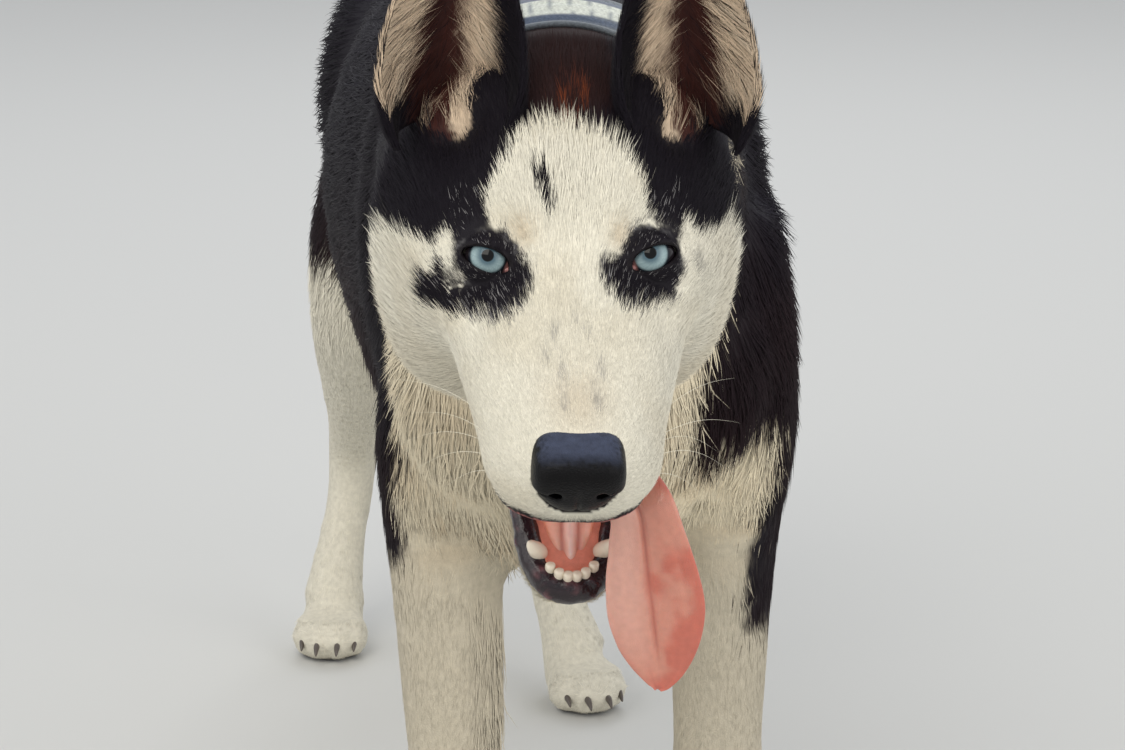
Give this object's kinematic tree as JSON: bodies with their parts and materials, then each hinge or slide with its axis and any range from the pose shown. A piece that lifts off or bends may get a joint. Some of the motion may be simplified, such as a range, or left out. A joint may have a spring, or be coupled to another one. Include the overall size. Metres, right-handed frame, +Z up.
{
  "type": "siberian husky",
  "caption": "Life-size still model of a young black and white husky standing, head lowered, mouth open with its tongue out, in a plain woven collar.",
  "frame": {"origin": "middle of the model's box, on the floor that the paws stand on", "axes": "-Y is the way the dog faces, +X is the dog's left side, +Z is up"},
  "size_m": [0.256, 1.1242, 0.6186],
  "materials": {
    "coat_white": "white and cream dog hair",
    "coat_black": "black dog hair",
    "eye": "wet pale blue eye",
    "nose": "moist black nose leather",
    "tongue": "moist pink",
    "collar": "woven webbing"
  },
  "bodies": {
    "root": {"torso": "coat_black", "neck": "coat_black", "tail": "coat_black", "head": "coat_white", "lower_jaw": "coat_white", "ear_left": "coat_black", "ear_right": "coat_black", "eye_left": "eye", "eye_right": "eye", "nose": "nose", "tongue": "tongue", "collar": "collar", "foreleg_left": "coat_white", "foreleg_right": "coat_white", "forepaw_left": "coat_white", "forepaw_right": "coat_white", "thigh_left": "coat_white", "thigh_right": "coat_white", "hock_left": "coat_white", "hock_right": "coat_white", "hindpaw_left": "coat_white", "hindpaw_right": "coat_white"}
  },
  "joints": []
}
